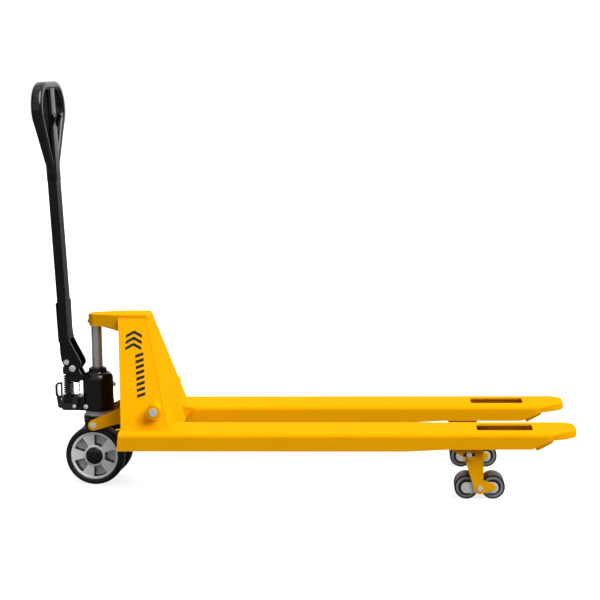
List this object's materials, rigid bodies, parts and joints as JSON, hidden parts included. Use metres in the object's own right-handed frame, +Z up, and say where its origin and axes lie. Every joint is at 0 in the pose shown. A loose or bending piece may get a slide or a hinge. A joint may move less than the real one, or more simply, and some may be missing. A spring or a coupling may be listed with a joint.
{
  "type": "pallet jack",
  "caption": "Hand pallet jack with twin forks raised on load rollers, A-shaped housing, hydraulic pump, steer wheels and a tall handle with a closed loop grip.",
  "frame": {"origin": "centre of the whole jack in plan, on the floor, forks raised and handle up", "axes": "+X along the forks towards their tips, +Y to the operator's left when facing the tips, +Z up"},
  "size_m": [1.5782, 0.54, 1.214],
  "materials": {
    "yellow_paint": "semi-gloss powder coat, fine orange peel",
    "black_paint": "satin black paint",
    "ram_chrome": "hard chrome, polished",
    "bright_steel": "turned and ground steel",
    "zinc_steel": "bright zinc plate",
    "seal_rubber": "soft moulded rubber",
    "tyre_rubber": "smooth solid rubber",
    "cast_alloy": "die-cast, lightly machined faces",
    "black_plastic": "smooth moulded plastic",
    "roller_urethane": "dark grey polyurethane"
  },
  "bodies": {
    "seat": {"seat_bracket": "black_paint", "lower_race": "bright_steel"},
    "chassis": {"fork_left": "yellow_paint", "fork_right": "yellow_paint", "heel_left": "yellow_paint", "heel_right": "yellow_paint", "side_plate_left": "yellow_paint", "side_plate_right": "yellow_paint", "front_plate": "yellow_paint", "head_bracket": "yellow_paint", "boss_left": "yellow_paint", "boss_right": "yellow_paint", "leg_bracket_left": "yellow_paint", "leg_bracket_right": "yellow_paint", "entry_skid_left": "yellow_paint", "entry_skid_right": "yellow_paint", "piston_rod": "ram_chrome", "ram_screw": "zinc_steel", "leg_nuts": "zinc_steel"},
    "rocker": {"rocker": "yellow_paint", "rocker_pins": "bright_steel"},
    "pump": {"pump_body": "black_paint", "pump_base": "black_paint", "gland_nut": "black_paint", "wiper_ring": "seal_rubber", "upper_race": "bright_steel", "thrust_balls": "bright_steel", "axle_carrier": "black_paint", "wheel_axle": "bright_steel", "filler_plug": "zinc_steel", "pump_bolts": "zinc_steel", "handle_pivot_pins": "bright_steel", "pull_chain": "zinc_steel", "plunger_spring": "zinc_steel"},
    "plunger": {"plunger": "bright_steel"},
    "wheel_left": {"steer_rim_left": "cast_alloy", "steer_tyre_left": "tyre_rubber", "hub_cap_left": "black_plastic"},
    "wheel_right": {"steer_rim_right": "cast_alloy", "steer_tyre_right": "tyre_rubber", "hub_cap_right": "black_plastic"},
    "handle": {"handle_bracket": "black_paint", "handle_tube": "black_paint", "handle_loop": "black_plastic", "pull_rod": "zinc_steel", "roller_axle": "bright_steel"},
    "press_roller": {"press_roller": "bright_steel"},
    "control_lever": {"control_lever": "black_plastic"},
    "release_lever": {"release_lever": "black_paint"},
    "leg_left": {"leg_left": "yellow_paint"},
    "bogie_left": {"bogie_left": "zinc_steel"},
    "load_roller_left_rear": {"load_roller_left_rear": "roller_urethane"},
    "load_roller_left_front": {"load_roller_left_front": "roller_urethane"},
    "push_rod_left": {"push_rod_left": "zinc_steel"},
    "leg_right": {"leg_right": "yellow_paint"},
    "bogie_right": {"bogie_right": "zinc_steel"},
    "load_roller_right_rear": {"load_roller_right_rear": "roller_urethane"},
    "load_roller_right_front": {"load_roller_right_front": "roller_urethane"},
    "push_rod_right": {"push_rod_right": "zinc_steel"}
  },
  "joints": [
    {"name": "lift", "type": "slide", "parent": "seat", "child": "chassis", "axis": [0, 0, 1], "range_m": [-0.115, 0]},
    {"name": "steer", "type": "hinge", "parent": "seat", "child": "pump", "pos_m": [-0.6359, 0, 0.212], "axis": [0, 0, 1], "range_deg": [-86, 94]},
    {"name": "rocker_turn", "type": "hinge", "parent": "chassis", "child": "rocker", "pos_m": [-0.4339, 0, 0.259], "axis": [0, -1, 0], "range_deg": [-35, 1]},
    {"name": "handle_tilt", "type": "hinge", "parent": "pump", "child": "handle", "pos_m": [-0.70573, 0.00488, 0.35], "axis": [-0.0698, -0.9976, 0], "range_deg": [0, 78]},
    {"name": "press_roller_spin", "type": "hinge", "parent": "handle", "child": "press_roller", "pos_m": [-0.72369, 0.00614, 0.369], "axis": [0.0698, 0.9976, 0], "continuous": true},
    {"name": "pump_stroke", "type": "slide", "parent": "pump", "child": "plunger", "axis": [0, 0, 1], "range_m": [-0.034, 0.001], "deforming": ["plunger_spring"]},
    {"name": "control_lever_turn", "type": "hinge", "parent": "handle", "child": "control_lever", "pos_m": [-0.75836, 0.00856, 1.05937], "axis": [-0.0698, -0.9976, 0], "range_deg": [-10, 20]},
    {"name": "release_lever_turn", "type": "hinge", "parent": "pump", "child": "release_lever", "pos_m": [-0.70174, 0.0046, 0.235], "axis": [-0.0698, -0.9976, 0], "range_deg": [-3.2, 6.2]},
    {"name": "wheel_spin_left", "type": "hinge", "parent": "pump", "child": "wheel_left", "pos_m": [-0.63241, 0.04988, 0.09], "axis": [0.0698, 0.9976, 0], "continuous": true},
    {"name": "leg_turn_left", "type": "hinge", "parent": "chassis", "child": "leg_left", "pos_m": [0.4801, 0.19, 0.138], "axis": [0, -1, 0], "range_deg": [-1, 82]},
    {"name": "bogie_turn_left", "type": "hinge", "parent": "leg_left", "child": "bogie_left", "pos_m": [0.5121, 0.19, 0.035], "axis": [0, -1, 0], "range_deg": [-82, 1]},
    {"name": "roller_spin_left_rear", "type": "hinge", "parent": "bogie_left", "child": "load_roller_left_rear", "pos_m": [0.47385, 0.19, 0.035], "axis": [0, 1, 0], "continuous": true},
    {"name": "roller_spin_left_front", "type": "hinge", "parent": "bogie_left", "child": "load_roller_left_front", "pos_m": [0.55035, 0.19, 0.035], "axis": [0, 1, 0], "continuous": true},
    {"name": "push_rod_stroke_left", "type": "slide", "parent": "chassis", "child": "push_rod_left", "axis": [1, 0, 0], "range_m": [-0.058, 0.001]},
    {"name": "wheel_spin_right", "type": "hinge", "parent": "pump", "child": "wheel_right", "pos_m": [-0.63939, -0.04988, 0.09], "axis": [0.0698, 0.9976, 0], "continuous": true},
    {"name": "leg_turn_right", "type": "hinge", "parent": "chassis", "child": "leg_right", "pos_m": [0.4801, -0.19, 0.138], "axis": [0, -1, 0], "range_deg": [-1, 82]},
    {"name": "bogie_turn_right", "type": "hinge", "parent": "leg_right", "child": "bogie_right", "pos_m": [0.5121, -0.19, 0.035], "axis": [0, -1, 0], "range_deg": [-82, 1]},
    {"name": "roller_spin_right_rear", "type": "hinge", "parent": "bogie_right", "child": "load_roller_right_rear", "pos_m": [0.47385, -0.19, 0.035], "axis": [0, 1, 0], "continuous": true},
    {"name": "roller_spin_right_front", "type": "hinge", "parent": "bogie_right", "child": "load_roller_right_front", "pos_m": [0.55035, -0.19, 0.035], "axis": [0, 1, 0], "continuous": true},
    {"name": "push_rod_stroke_right", "type": "slide", "parent": "chassis", "child": "push_rod_right", "axis": [1, 0, 0], "range_m": [-0.058, 0.001]}
  ],
  "couplings": [
    {"joint": "rocker_turn", "follows": "lift", "rad_per_m": 4.7234},
    {"joint": "pump_stroke", "follows": "handle_tilt", "m_per_rad": -0.0242},
    {"joint": "release_lever_turn", "follows": "control_lever_turn", "ratio": 0.3},
    {"joint": "leg_turn_left", "follows": "lift", "rad_per_m": -12.009},
    {"joint": "bogie_turn_left", "follows": "lift", "rad_per_m": 12.009},
    {"joint": "push_rod_stroke_left", "follows": "lift", "ratio": 0.4887},
    {"joint": "leg_turn_right", "follows": "lift", "rad_per_m": -12.009},
    {"joint": "bogie_turn_right", "follows": "lift", "rad_per_m": 12.009},
    {"joint": "push_rod_stroke_right", "follows": "lift", "ratio": 0.4887}
  ]
}
